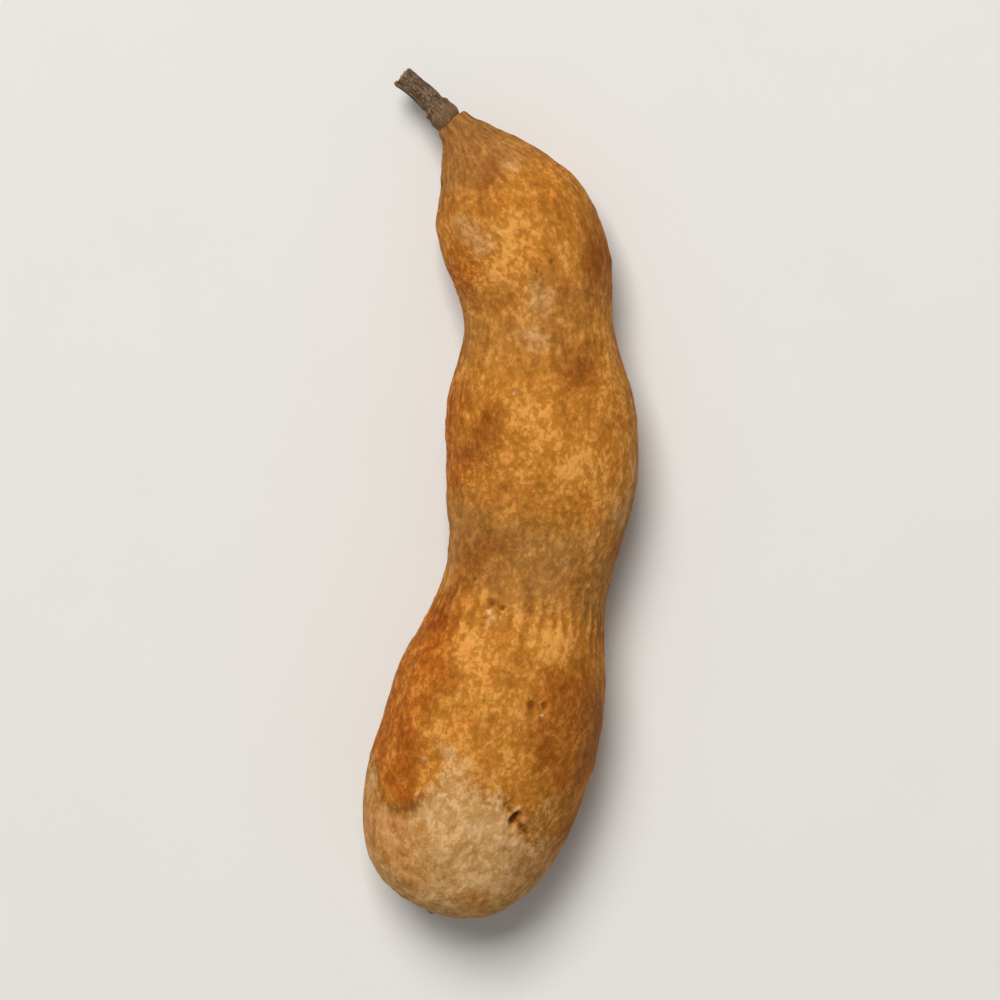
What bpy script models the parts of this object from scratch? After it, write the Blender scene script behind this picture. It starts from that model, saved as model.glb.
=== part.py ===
"""A ripe sweet tamarind pod, lying on its side as it would on a table, with the stub of its stalk.

The pod is one closed solid: a tube of oval section drawn along a bent middle line, swollen over each group of
seeds and waisted between them, blunt at one end and narrowed to a neck at the other. The stalk is a solid of its
own, set a hair's breadth off the neck. Sizes are in millimetres up to MM, which turns them into metres.

Frame: +Z up, +Y from the blunt end towards the stalk, +X towards the outside of the bend. The origin is under the
middle of the object's box, on the surface it rests on.
"""

import math

import bmesh
import bpy
from mathutils import Vector

MM = 0.001

# The pod, along its middle line from the blunt end (0) to the end of the neck
POD_LENGTH = 90.0
SWELLINGS = ((20.0, 11.6), (53.0, 10.4), (74.5, 8.6))  # distance along, half width
WAISTS = ((38.0, 8.7), (66.0, 7.9), (90.0, 2.1))  # each one follows its swelling
FULLNESS = 1.35  # above 1, a swelling stays wide for longer on its way to a waist
END_BLUNTNESS = 2.6  # 2 is an elliptical blunt end, and more is squarer
BEAK_LENGTH = 0.5  # the low point left by the flower, on the blunt end
BEAK_RADIUS = 0.8
BEAK_POINT = 0.35
FLATNESS = 0.84  # thickness over width of every section

# The bend: the middle line's heading, in degrees from +Y towards +X
FIRST_HEADING = 18.0
WHOLE_TURN = 59.0
TURN_GROWTH = 2.5  # the bend tightens towards the stalk
SHOULDERS = ((58.5, 9.0, -0.6), (72.5, 8.0, 0.5))  # distance along, reach, shift to +X

# The seams: the two lines where the shell's halves meet, on the inner and outer edges
SEAM_RISE = 0.02  # as a share of the half width
SEAM_SPREAD = math.radians(9)

# How it rests: each swelling is pressed flat by this much where it meets the surface
PRESSED = 0.35

# The stalk
STALK_GAP = 0.3
STALK_LENGTH = 6.5
STALK_RADIUS = 1.15
STALK_FOOT = 1.5  # how much wider it is where it leaves the neck
STALK_CUT = 1.08  # and at its cut end
STALK_TURN = 14.0  # degrees that it bends on beyond the neck

# Fineness of the meshes
SECTION_POINTS = 28
END_RINGS = 9
BODY_RINGS = 36
STALK_RINGS = 8
SPINE_STEP = 0.1
WELD = 0.01


def swollen_half_width(along):
    """Half the pod's width at this distance from its blunt end. Below 0 it is the beak's."""
    first, widest = SWELLINGS[0]
    if along <= 0:
        return BEAK_RADIUS + (BEAK_RADIUS - BEAK_POINT) * along / BEAK_LENGTH
    if along <= first:
        share = (first - along) / first
        return widest * (1 - share**END_BLUNTNESS) ** (1 / END_BLUNTNESS)
    for (top, wide), (foot, narrow), later in zip(SWELLINGS, WAISTS, SWELLINGS[1:] + (None,)):
        if along <= foot:
            way = (along - top) / (foot - top)
            return wide + (narrow - wide) * (1 - math.cos(math.pi * way**FULLNESS)) / 2
        if later and along <= later[0]:
            way = (later[0] - along) / (later[0] - foot)
            return later[1] + (narrow - later[1]) * (1 - math.cos(math.pi * way**FULLNESS)) / 2
    return WAISTS[-1][1]


def resting_height(along):
    """Height of the middle line: a parabola that sets each swelling's underside on the surface."""
    height = 0.0
    for at, half_width in SWELLINGS:
        share = half_width * FLATNESS - PRESSED
        for other, _ in SWELLINGS:
            if other != at:
                share *= (along - other) / (at - other)
        height += share
    return height


def heading(along):
    """Direction of the middle line, in radians from +Y towards +X."""
    turned = WHOLE_TURN * (max(along, 0.0) / POD_LENGTH) ** TURN_GROWTH
    return math.radians(FIRST_HEADING - turned)


def middle_line(stations):
    """The middle line's points at these distances from the blunt end, in millimetres."""
    points, x, y, walked = [], 0.0, 0.0, -BEAK_LENGTH
    for along in stations:
        while walked < along:
            step = min(SPINE_STEP, along - walked)
            turned = heading(walked + step / 2)
            x += math.sin(turned) * step
            y += math.cos(turned) * step
            walked += step
        turned, aside = heading(along), shoulder_shift(along)
        side_x, side_y = math.cos(turned) * aside, -math.sin(turned) * aside
        points.append(Vector((x + side_x, y + side_y, resting_height(along))))
    return points


def shoulder_shift(along):
    """How far the section stands off the smooth bend, towards the outside: the inner shoulders are fuller."""
    shift = 0.0
    for at, reach, most in SHOULDERS:
        if abs(along - at) < reach:
            shift += most * (1 + math.cos(math.pi * (along - at) / reach)) / 2
    return shift


def pod_stations():
    """Distances along the pod at which it gets a ring, closer together where the blunt end rounds over."""
    first = SWELLINGS[0][0]
    rounding = [first * (1 - math.cos(math.pi / 2 * i / END_RINGS)) for i in range(1, END_RINGS + 1)]
    even = [first + (POD_LENGTH - first) * i / BODY_RINGS for i in range(1, BODY_RINGS + 1)]
    return [-BEAK_LENGTH, 0.0, *rounding, *even]


def material(name, colour, roughness):
    made = bpy.data.materials.new(name)
    made.use_nodes = True
    shader = made.node_tree.nodes["Principled BSDF"]
    shader.inputs["Base Color"].default_value = (*colour, 1.0)
    shader.inputs["Roughness"].default_value = roughness
    shader.inputs["Metallic"].default_value = 0.0
    return made


def line_object(name, points, radii, collection):
    """A polyline curve whose points carry the half width of the tube drawn along it."""
    curve = bpy.data.curves.new(name, "CURVE")
    curve.dimensions = "3D"
    curve.twist_mode = "Z_UP"
    curve.use_fill_caps = True
    spline = curve.splines.new("POLY")
    spline.points.add(len(points) - 1)
    for place, point, radius in zip(spline.points, points, radii):
        place.co = (*(point * MM), 1.0)
        place.radius = radius
    made = bpy.data.objects.new(name, curve)
    collection.objects.link(made)
    return made


def oval_section(collection):
    """The pod's section at a half width of 1: an oval with a low ridge at each seam."""
    curve = bpy.data.curves.new("oval_section", "CURVE")
    curve.dimensions = "2D"
    spline = curve.splines.new("POLY")
    spline.points.add(SECTION_POINTS - 1)
    spline.use_cyclic_u = True
    for i, place in enumerate(spline.points):
        angle = 2 * math.pi * i / SECTION_POINTS
        from_seam = min(angle % math.pi, math.pi - angle % math.pi)
        out = 1 + SEAM_RISE * math.exp(-((from_seam / SEAM_SPREAD) ** 2))
        place.co = (math.cos(angle) * out, math.sin(angle) * FLATNESS, 0.0, 1.0)
    made = bpy.data.objects.new("oval_section", curve)
    made.hide_render = True
    made.display_type = "WIRE"
    collection.objects.link(made)
    return made


def as_mesh(curved, collection):
    """The curve as a mesh object of the same name, its caps welded on and all its faces pointing out."""
    graph = bpy.context.evaluated_depsgraph_get()
    mesh = bpy.data.meshes.new_from_object(curved.evaluated_get(graph))
    shape = bmesh.new()
    shape.from_mesh(mesh)
    bmesh.ops.remove_doubles(shape, verts=shape.verts, dist=WELD * MM)
    bmesh.ops.recalc_face_normals(shape, faces=shape.faces)
    shape.to_mesh(mesh)
    shape.free()
    name, place = curved.name, curved.matrix_world.copy()
    bpy.data.objects.remove(curved)
    made = bpy.data.objects.new(name, mesh)
    made.matrix_world = place
    collection.objects.link(made)
    return made


def build_pod(parts, helpers):
    stations = pod_stations()
    half_widths = [swollen_half_width(along) * MM for along in stations]
    line = line_object("pod", middle_line(stations), half_widths, parts)
    line.data.bevel_mode = "OBJECT"
    line.data.bevel_object = oval_section(helpers)
    pod = as_mesh(line, parts)
    cut = pod.modifiers.new("rest_faces", "BOOLEAN")
    cut.operation = "DIFFERENCE"
    cut.solver = "EXACT"
    cut.object = resting_surface(helpers)
    pod.data.materials.clear()
    pod.data.materials.append(material("pod_skin", (0.46, 0.19, 0.042), 0.85))
    return pod


def resting_surface(collection):
    """The cutter whose top is the surface that the pod lies on."""
    side, depth = 2.5 * POD_LENGTH * MM, 5 * MM
    bpy.ops.mesh.primitive_cube_add(size=1, location=(0, 0, -depth / 2), scale=(side, side, depth))
    made = bpy.context.active_object
    made.name = "resting_surface"
    for home in list(made.users_collection):
        home.objects.unlink(made)
    collection.objects.link(made)
    made.hide_render = True
    made.display_type = "WIRE"
    return made


def build_stalk(parts):
    """The stub of stalk: it carries on from the neck, flared at its foot and a little at its cut end."""
    root, before = reversed(middle_line([POD_LENGTH - 1.0, POD_LENGTH]))
    onwards = (root - before).normalized()
    across = Vector((onwards.y, -onwards.x, 0)).normalized()
    points, radii = [], []
    for i in range(STALK_RINGS):
        share = i / (STALK_RINGS - 1)
        bend = math.radians(STALK_TURN) * share / 2
        reach = STALK_GAP + STALK_LENGTH * share
        points.append(root + (onwards * math.cos(bend) - across * math.sin(bend)) * reach)
        foot = (STALK_FOOT - 1) * math.exp(-5 * share)
        cut_end = (STALK_CUT - 1) * share**6
        radii.append(1 + foot + cut_end)
    line = line_object("stalk", points, radii, parts)
    line.data.bevel_depth = STALK_RADIUS * MM
    line.data.bevel_resolution = 2
    stalk = as_mesh(line, parts)
    stalk.data.materials.clear()
    stalk.data.materials.append(material("stalk_wood", (0.085, 0.05, 0.028), 0.9))
    return stalk


def centre_on_origin(objects):
    """Moves the objects so that the middle of their box is over the origin. Heights stay as built."""
    bpy.context.view_layer.update()
    graph = bpy.context.evaluated_depsgraph_get()
    corners = [
        made.matrix_world @ Vector(corner)
        for made in objects
        for corner in made.evaluated_get(graph).bound_box
    ]
    for axis in range(2):
        low = min(corner[axis] for corner in corners)
        high = max(corner[axis] for corner in corners)
        for made in objects:
            made.location[axis] -= (low + high) / 2


def main():
    for old in list(bpy.data.objects):
        bpy.data.objects.remove(old)
    parts = bpy.data.collections.new("tamarind_pod")
    helpers = bpy.data.collections.new("helpers")
    for collection in (parts, helpers):
        bpy.context.scene.collection.children.link(collection)
    pod = build_pod(parts, helpers)
    stalk = build_stalk(parts)
    for made in (pod, stalk):
        for face in made.data.polygons:
            face.use_smooth = True
    centre_on_origin([pod, stalk])


main()
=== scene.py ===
"""The finished looks of a ripe sweet tamarind pod that lies on its side, with the stub of its stalk.

Both pieces are modelled straight, along +Y, and carried onto their bent middle lines at the end. A mark
on the skin is placed by how far along the pod it is and by its angle round it, in degrees from +X over
the top. Sizes are in millimetres up to MM, which turns them into metres.
"""

import math

import bmesh
import bpy
import numpy as np
from bpy.props import FloatProperty, FloatVectorProperty, PointerProperty
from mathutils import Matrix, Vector, noise


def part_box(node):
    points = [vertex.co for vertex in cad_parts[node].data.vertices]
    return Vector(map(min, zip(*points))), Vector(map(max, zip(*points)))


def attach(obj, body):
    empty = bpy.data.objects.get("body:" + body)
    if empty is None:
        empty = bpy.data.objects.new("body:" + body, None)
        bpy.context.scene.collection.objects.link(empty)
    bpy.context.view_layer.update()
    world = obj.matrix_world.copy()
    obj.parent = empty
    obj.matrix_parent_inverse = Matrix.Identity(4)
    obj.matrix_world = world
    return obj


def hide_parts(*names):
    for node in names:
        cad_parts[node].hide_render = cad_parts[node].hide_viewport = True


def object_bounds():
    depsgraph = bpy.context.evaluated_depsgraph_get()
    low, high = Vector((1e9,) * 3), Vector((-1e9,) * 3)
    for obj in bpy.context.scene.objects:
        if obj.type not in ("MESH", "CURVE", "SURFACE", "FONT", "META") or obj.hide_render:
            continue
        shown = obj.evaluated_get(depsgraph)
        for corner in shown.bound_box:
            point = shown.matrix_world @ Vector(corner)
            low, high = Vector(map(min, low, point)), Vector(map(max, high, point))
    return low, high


bl_info = {
    "name": "Tamarind Pod",
    "version": (1, 0, 0),
    "blender": (4, 5, 0),
    "location": "View3D > Sidebar > Tamarind",
    "description": "A ripe tamarind pod and its stub of stalk, finished on a fixed frame",
    "category": "Add Mesh",
}

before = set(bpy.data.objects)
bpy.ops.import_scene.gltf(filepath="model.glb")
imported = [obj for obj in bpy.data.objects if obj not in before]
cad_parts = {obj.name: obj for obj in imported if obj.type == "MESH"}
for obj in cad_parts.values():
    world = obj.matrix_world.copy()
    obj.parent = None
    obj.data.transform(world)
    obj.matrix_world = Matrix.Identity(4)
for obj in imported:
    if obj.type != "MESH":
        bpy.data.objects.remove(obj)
FRAME_LOW, FRAME_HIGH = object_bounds()

MM = 0.001

# The pod's form, the same as its solid's
POD_LENGTH = 90.0
SWELLINGS = ((20.0, 11.6), (53.0, 10.4), (74.5, 8.6))  # distance along, half width
WAISTS = ((38.0, 8.7), (66.0, 7.9), (90.0, 2.1))  # each one follows its swelling
FULLNESS = 1.35
END_BLUNTNESS = 2.6
BEAK_LENGTH = 0.5
BEAK_RADIUS = 0.8
BEAK_POINT = 0.35
FLATNESS = 0.84
FIRST_HEADING = 18.0
WHOLE_TURN = 59.0
TURN_GROWTH = 2.5
SHOULDERS = ((58.5, 9.0, -0.6), (72.5, 8.0, 0.5))  # distance along, reach, shift to +X
SEAM_RISE = 0.02
SEAM_SPREAD = 9.0
PRESSED = 0.35
LINE_STEP = 0.1

# How the neck rounds over: distance along, share of its half width
NECK_RIM = ((88.6, 1.03), (89.3, 0.98), (89.75, 0.9), (89.98, 0.8), (90.0, 0.64), (89.95, 0.45))

# The stalk's form, the same as its solid's, and what its bark adds
STALK_GAP = 0.3
STALK_LENGTH = 6.5
STALK_RADIUS = 1.15
STALK_FOOT = 1.5
STALK_CUT = 1.08
STALK_TURN = 14.0
STALK_ROOT = 1.3  # how far it is sunk into the neck
ROOT_SHARE = 0.8  # of its foot's width, where it is sunk in the neck
CUT_RIM = ((0.0, 0.9), (0.05, 0.6), (0.2, 0.25))  # its end's edge: depth, share of the radius
COLLARS = ((1.15, 0.28, 1.0), (1.75, 0.3, -0.8))  # a ring and a groove: distance, spread, share of height
COLLAR_HEIGHT = 0.13
FIBRE_HEIGHT = 0.11
BREAK_HEIGHTS = ((0.7, 0.42), (0.28, 0.2))  # its broken end's splinters: size, height
BREAK_SHORTENS = 0.25

# Fineness of the meshes: sides and rings of each cage, and the subdivisions that smooth it
POD_SIDES = 28
END_RINGS = 9
BODY_RINGS = 34
POD_SMOOTHING = 3
STALK_SIDES = 28
STALK_RINGS = 16
STALK_SMOOTHING = 2

# Unevenness of the pod's skin: size of its features, height of them
LUMPS = ((14.0, 0.40), (6.2, 0.15), (3.1, 0.085), (1.7, 0.05), (0.95, 0.035), (0.6, 0.022))
GRANULE_SIZE = 1.25
GRANULE_HEIGHT = 0.07
DIMPLE_SIZE = 2.9
DIMPLE_DEPTH = 0.09
FOLD_SPACING = 24.0  # degrees from one lengthwise fold to the next
FOLD_DEPTHS = ((38.0, 7.0, 0.08), (66.0, 6.0, 0.1), (88.0, 9.0, 0.15))  # distance along, reach, depth
FOLDS_END = (86.5, 89.3)  # where they die out
WRINKLE_SPACING = 9.0  # degrees from one fine wrinkle to the next
WRINKLES = ((34.0, 6.0, 0.11), (63.0, 5.0, 0.04), (85.0, 8.0, 0.07))  # distance along, reach, depth
WRINKLES_END = (87.0, 89.5)

# The blunt end is worn pale as far along the pod as this: degrees round, distance along
WORN_END = (
    (0, 8.9), (11, 9.6), (19, 12.2), (27, 11.4), (34, 12.9), (43, 11.9), (52, 12.3), (58, 12.8),
    (63, 13.6), (68, 14.6), (72, 15.4), (77, 16.0), (83, 15.7), (88, 15.9), (92, 16.3), (98, 16.5),
    (105, 16.1), (111, 15.3), (115, 14.2), (118, 12.9), (122, 11.8), (128, 11.1), (137, 10.8),
    (144, 11.2), (150, 12.1), (157, 13.1), (165, 14.0), (178, 14.6), (190, 14.4), (205, 11.4),
    (222, 10.8), (240, 12.6), (262, 9.0), (285, 10.9), (305, 13.2), (322, 9.4), (340, 11.0),
    (350, 10.6), (360, 8.9),
)
# How far its mask takes there from the whole skin to the bare: degrees round, distance
WORN_FADES = (
    (0, 7.0), (30, 9.0), (46, 5.0), (58, 3.2), (68, 3.6), (76, 6.0), (88, 12.0), (103, 14.0),
    (112, 9.0), (119, 4.4), (130, 3.0), (152, 3.2), (175, 7.0), (230, 9.0), (300, 8.0), (360, 7.0),
)
WORN_STEP = 0.05  # how far the skin is worn down there

# Marks on the skin: distance along, degrees round, reach
RUBBED = (
    (46.6, 28, 4.0), (49.9, 17, 3.4), (55.1, 4, 4.2), (33.6, 106, 1.7), (76.9, 121, 3.6),
    (79.8, 130, 3.0), (58.5, 196, 3.6), (21.7, 255, 6.0), (53.5, 280, 6.0), (74.5, 265, 5.0),
    (29.1, 330, 4.2), (64.6, 97, 3.4), (69.0, 88, 3.2), (82.2, 60, 2.8), (17.6, 104, 2.8),
    (19.4, 111, 1.8), (15.6, 104, 2.6), (14.8, 45, 3.9),
)
# Browner patches, partly real scuffs and partly painted shade: the four at 131 to 160 degrees by the first
# waist paint the shadow there, and those on the first swelling's right flank deepen its shaded side.
SCUFFS_AND_SHADE = (
    (25.9, 61, 5.2), (28.6, 55, 4.2), (22.2, 50, 5.0), (20.2, 30, 4.6), (24.8, 36, 6.0),
    (28.6, 41, 4.0), (14.6, 12, 3.4), (38.6, 138, 5.0), (35.2, 150, 3.4), (40.6, 131, 4.4),
    (32.6, 160, 3.6), (25.5, 13, 6.0), (52.2, 131, 4.6), (55.7, 120, 3.4), (61.5, 57, 4.0),
    (70.5, 38, 3.6), (73.0, 30, 3.6), (82.7, 84, 3.6), (40.5, 250, 5.0), (62.5, 300, 5.0),
    (25.9, 285, 5.5), (76.4, 205, 4.0),
)
# Paler golden patches, partly real and partly painted light: those at 28 to 34 along, near the top,
# brighten the first swelling's upper part as a painted highlight where the light falls.
GOLDEN_AND_LIT = (
    (33.6, 84, 4.4), (32.4, 100, 4.8), (31.2, 116, 4.2), (33.2, 68, 4.2), (33.0, 52, 3.4),
    (28.2, 108, 4.4), (24.0, 112, 3.6), (20.1, 109, 3.4), (17.8, 104, 3.2), (57.2, 93, 5.0),
    (51.3, 71, 4.6), (76.4, 92, 4.6), (72.5, 110, 4.0), (52.5, 250, 6.0), (23.8, 248, 6.0),
)
# Deeper brown patches, partly ripened skin and partly painted shade: those on the first swelling's left
# flank, at 134 to 178 degrees, darken it as the side that falls into shade.
WARM_AND_SHADED = (
    (17.0, 138, 5.4), (21.7, 154, 7.2), (27.6, 152, 6.2), (30.6, 150, 5.6), (13.1, 134, 3.4),
    (16.8, 164, 6.0), (24.0, 178, 4.6), (49.5, 168, 6.5), (57.8, 172, 6.0), (73.5, 158, 6.0),
    (17.6, 230, 7.0), (70.5, 8, 4.6), (52.5, 300, 6.0),
)
TANNED = (
    (8.9, 147, 4.4), (7.4, 132, 4.2), (4.8, 117, 3.8), (10.9, 144, 2.8), (9.4, 118, 2.0),
    (7.5, 165, 5.5), (9.0, 190, 6.0), (3.4, 60, 3.0), (8.0, 20, 4.5), (8.0, 300, 6.0),
)
# Greyer, darker skin at the waists and the neck: partly the duller skin there, partly painted shade in the
# waists.
DULL_AND_SHADED = ((41.2, 9.0, 1.0), (66.5, 8.0, 0.55), (86.0, 7.0, 0.7))  # distance along, reach, share

PITS = (
    (26.1, 73.5, 0.74), (26.3, 65.4, 0.66), (35.4, 112.7, 0.75), (35.2, 103.6, 0.46),
    (37.5, 131.0, 0.50), (50.9, 97.7, 0.40), (71.9, 74.0, 0.40), (58.8, 70.6, 0.34),
    (20.5, 106.9, 0.30), (32.3, 69.4, 0.30), (46.5, 215.0, 0.46), (72.5, 240.0, 0.46),
    (19.7, 300.0, 0.44), (13.5, 216.0, 0.40),
)
PIT_DEPTH = 0.30
PIT_RIM = 0.05
HOLE = ((13.6, 63.9), (14.4, 62.5))
HOLE_REACH = 0.76
HOLE_DEPTH = 0.6
CRACK = ((13.5, 59.7), (12.8, 52.3))
CRACK_REACH = 0.52
CRACK_DEPTH = 0.26
NICK = ((15.25, 70.4), (14.8, 67.9))
LIP = ((14.75, 59.9), (14.05, 58.0))  # the torn edge at the hole
LIP_REACH = 0.62
LIP_RISE = 0.07
FLAKES = (
    (15.1, 64.5, 0.78), (12.75, 61.9, 0.42), (11.5, 57.8, 0.80), (34.4, 111.9, 0.60),
    (13.7, 119.9, 0.42), (17.2, 122.2, 0.40), (25.3, 66.2, 0.40), (44.4, 48.2, 0.40),
    (44.0, 37.6, 0.36), (58.6, 106.0, 0.34), (75.5, 66.0, 0.34), (28.0, 236.0, 0.40),
    (62.5, 262.0, 0.40),
)
FLAKE_RISE = 0.06
STAIN = ((11.3, 145.0), (10.8, 136.0), (11.1, 128.0), (11.9, 122.0), (13.0, 118.5))
STAIN_REACH = 1.15
TIP_REACH = 1.3  # how far from its point the low point is browned
WANDER_SEED = 1
FINE_SPOTS = ((13.6, 62.0, 3.0), (26.2, 69.5, 2.0), (34.9, 108.0, 2.0))  # where the mesh is made finer
FINE_CUTS = 2

# How ragged each mask's edge is: size of its tatters, their strength, where its edge begins, softness
TATTERS = {
    "golden_and_lit": (1.8, 0.8, 0.1, 0.8),
    "warm_and_shaded": (2.6, 0.5, 0.0, 0.8),
    "scuffed_and_shaded": (2.2, 0.8, 0.0, 1.0),
    "worn": (1.3, 0.5, 0.3, 0.4),
    "rubbed": (1.8, 0.9, 0.25, 0.6),
    "tanned": (1.6, 0.7, 0.0, 0.9),
    "broken": (0.4, 0.4, 0.55, 0.25),
}
# How the skin's colour drifts with two noises: from and to these values, how strongly, tint
HUE_DRIFTS = ((0.55, 0.72, 0.7, (1.0, 0.86, 0.7)), (0.44, 0.28, 0.7, (0.93, 1.0, 1.0)))
SPECKLE_DRIFTS = ((0.54, 0.72, 0.8, (1.0, 0.84, 0.8)), (0.46, 0.3, 0.8, (1.0, 1.0, 0.6)))
BARK_RELIEF = 0.08
SEAM_LINE = (0.965, 1.02)  # from where to where the seam's mask gives its dark line

# The stage: places and sizes in metres
FLOOR_SIDE = 6.0
KEY_PLACE = (-0.32, 1.0, 1.62)
KEY_SIDE = 0.85
KEY_COLOUR = (1.0, 0.975, 0.935)
SKY_COLOUR = (1.0, 0.99, 0.975, 1.0)
HORIZON_LIGHT = 0.4
HORIZON_HEIGHT = 0.32
LENS = 170.0  # focal length, in millimetres


# ---------------------------------------------------------------- form


def half_width(along):
    """Half the pod's width at this distance from its blunt end. Below 0 it is the beak's."""
    first, widest = SWELLINGS[0]
    if along <= 0:
        return BEAK_RADIUS + (BEAK_RADIUS - BEAK_POINT) * along / BEAK_LENGTH
    if along <= first:
        share = (first - along) / first
        return widest * (1 - share**END_BLUNTNESS) ** (1 / END_BLUNTNESS)
    for (top, wide), (foot, narrow), later in zip(SWELLINGS, WAISTS, SWELLINGS[1:] + (None,)):
        if along <= foot:
            way = (along - top) / (foot - top)
            return wide + (narrow - wide) * (1 - math.cos(math.pi * way**FULLNESS)) / 2
        if later and along <= later[0]:
            way = (later[0] - along) / (later[0] - foot)
            return later[1] + (narrow - later[1]) * (1 - math.cos(math.pi * way**FULLNESS)) / 2
    return WAISTS[-1][1]


def resting_height(along):
    """Height of the middle line: a parabola that sets each swelling's underside on the surface."""
    height = 0.0
    for at, width in SWELLINGS:
        share = width * FLATNESS - PRESSED
        for other, _ in SWELLINGS:
            if other != at:
                share *= (along - other) / (at - other)
        height += share
    return height


def heading(along):
    """Direction of the middle line, in radians from +Y towards +X."""
    turned = WHOLE_TURN * (max(along, 0.0) / POD_LENGTH) ** TURN_GROWTH
    return math.radians(FIRST_HEADING - turned)


def shoulder_shift(along):
    """How far the section stands off the smooth bend, towards +X."""
    shift = 0.0
    for at, reach, most in SHOULDERS:
        if abs(along - at) < reach:
            shift += most * (1 + math.cos(math.pi * (along - at) / reach)) / 2
    return shift


def pod_line():
    """Distances along the pod and the middle line's places there, from before the beak to past the neck."""
    alongs = np.arange(-2 * BEAK_LENGTH, POD_LENGTH + 2, LINE_STEP)
    places, x, y = [], 0.0, 0.0
    for along in alongs:
        turned, aside = heading(along), shoulder_shift(along)
        places.append((x + math.cos(turned) * aside, y - math.sin(turned) * aside, resting_height(along)))
        turned = heading(along + LINE_STEP / 2)
        x += math.sin(turned) * LINE_STEP
        y += math.cos(turned) * LINE_STEP
    return alongs, np.array(places)


def stalk_line():
    """The same for the stalk, whose distances count from the end of the neck."""
    alongs, places = pod_line()
    before, end = (
        np.array([np.interp(at, alongs, places[:, axis]) for axis in range(3)])
        for at in (POD_LENGTH - 1, POD_LENGTH)
    )
    onward = (end - before) / np.linalg.norm(end - before)
    across = np.array([onward[1], -onward[0], 0.0]) / math.hypot(onward[0], onward[1])
    reaches = np.arange(-2.0, STALK_GAP + STALK_LENGTH + 1, LINE_STEP)
    bends = np.radians(STALK_TURN / 2) * np.maximum(reaches - STALK_GAP, 0) / STALK_LENGTH
    ways = np.cos(bends)[:, None] * onward - np.sin(bends)[:, None] * across
    return reaches, end + ways * reaches[:, None]


def carry(straight, alongs, places):
    """Takes points modelled along +Y to a bent middle line: x goes to its side, and z goes up from it."""
    onward = np.gradient(places, alongs, axis=0)
    onward /= np.linalg.norm(onward, axis=1)[:, None]
    side = np.cross(onward, (0.0, 0.0, 1.0))
    side /= np.linalg.norm(side, axis=1)[:, None]
    up = np.cross(side, onward)
    middle, to_side, to_top = (
        np.column_stack([np.interp(straight[:, 1], alongs, line[:, axis]) for axis in range(3)])
        for line in (places, side, up)
    )
    return middle + to_side * straight[:, :1] + to_top * straight[:, 2:]


def on_skin(along, degrees):
    """The place on the straight pod's smooth skin at this distance along it and this angle round it."""
    angle, radius = math.radians(degrees), half_width(along)
    return np.array([radius * math.cos(angle), along, radius * math.sin(angle) * FLATNESS])


# ---------------------------------------------------------------- modelling by hand


def deselect_all():
    """Goes back to object mode with nothing selected."""
    if bpy.context.mode != "OBJECT":
        bpy.ops.object.mode_set(mode="OBJECT")
    bpy.ops.object.select_all(action="DESELECT")


def select_vertices(made, wanted):
    """In edit mode, selects the vertices whose place passes the test, with the faces between them."""
    shape = bmesh.from_edit_mesh(made.data)
    for vertex in shape.verts:
        vertex.select = wanted(vertex.co)
    shape.select_flush_mode()
    bmesh.update_edit_mesh(made.data)


def draw_out(name, sides, stations, radii, flatness):
    """A tube along +Y drawn out from a circle, ring by ring, and drawn together to a point at both ends."""
    deselect_all()
    bpy.ops.mesh.primitive_circle_add(
        vertices=sides,
        radius=radii[0] * MM,
        location=(0, stations[0] * MM, 0),
        rotation=(math.pi / 2, 0, 0),
    )
    made = bpy.context.active_object
    made.name = name
    made.data.name = name
    bpy.ops.object.transform_apply(location=True, rotation=True, scale=True)
    bpy.ops.object.mode_set(mode="EDIT")
    bpy.ops.mesh.select_mode(type="VERT")
    bpy.ops.mesh.select_all(action="SELECT")
    bpy.ops.transform.resize(value=(1, 1, flatness), center_override=(0, stations[0] * MM, 0))
    rings = list(zip(stations, radii))
    for (before, was), (here, radius) in zip(rings, rings[1:]):
        bpy.ops.mesh.extrude_region_move(TRANSFORM_OT_translate={"value": (0, (here - before) * MM, 0)})
        grown = radius / was
        bpy.ops.transform.resize(value=(grown, 1, grown), center_override=(0, here * MM, 0))
    bpy.ops.mesh.extrude_region_move(TRANSFORM_OT_translate={"value": (0, 0, 0)})
    bpy.ops.mesh.merge(type="CENTER")
    start = (stations[0] + (stations[1] - stations[0]) / 2) * MM
    select_vertices(made, lambda place: place.y < start)
    bpy.ops.mesh.extrude_region_move(TRANSFORM_OT_translate={"value": (0, 0, 0)})
    bpy.ops.mesh.merge(type="CENTER")
    bpy.ops.mesh.select_all(action="SELECT")
    bpy.ops.mesh.normals_make_consistent(inside=False)
    bpy.ops.object.mode_set(mode="OBJECT")
    return made


def smooth_cage(made, levels):
    """Subdivides the cage to the smooth form that it stands for."""
    smoothing = made.modifiers.new("smoothing", "SUBSURF")
    smoothing.levels = levels
    smoothing.render_levels = levels
    bpy.ops.object.modifier_apply(modifier=smoothing.name)


def cut_finer(made, spots, cuts):
    """Subdivides the faces round these places on the skin, for detail that is finer than the rest."""
    bpy.ops.object.mode_set(mode="EDIT")
    bpy.ops.mesh.select_all(action="DESELECT")
    middles = [(Vector(on_skin(along, degrees)) * MM, reach * MM) for along, degrees, reach in spots]
    select_vertices(made, lambda place: any((place - middle).length < reach for middle, reach in middles))
    bpy.ops.mesh.subdivide(number_cuts=cuts, smoothness=1)
    bpy.ops.object.mode_set(mode="OBJECT")


def read_places(made):
    """The places of the mesh's vertices, in millimetres."""
    flat = np.empty(len(made.data.vertices) * 3, np.float32)
    made.data.vertices.foreach_get("co", flat)
    return flat.reshape(-1, 3).astype(float) / MM


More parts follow.
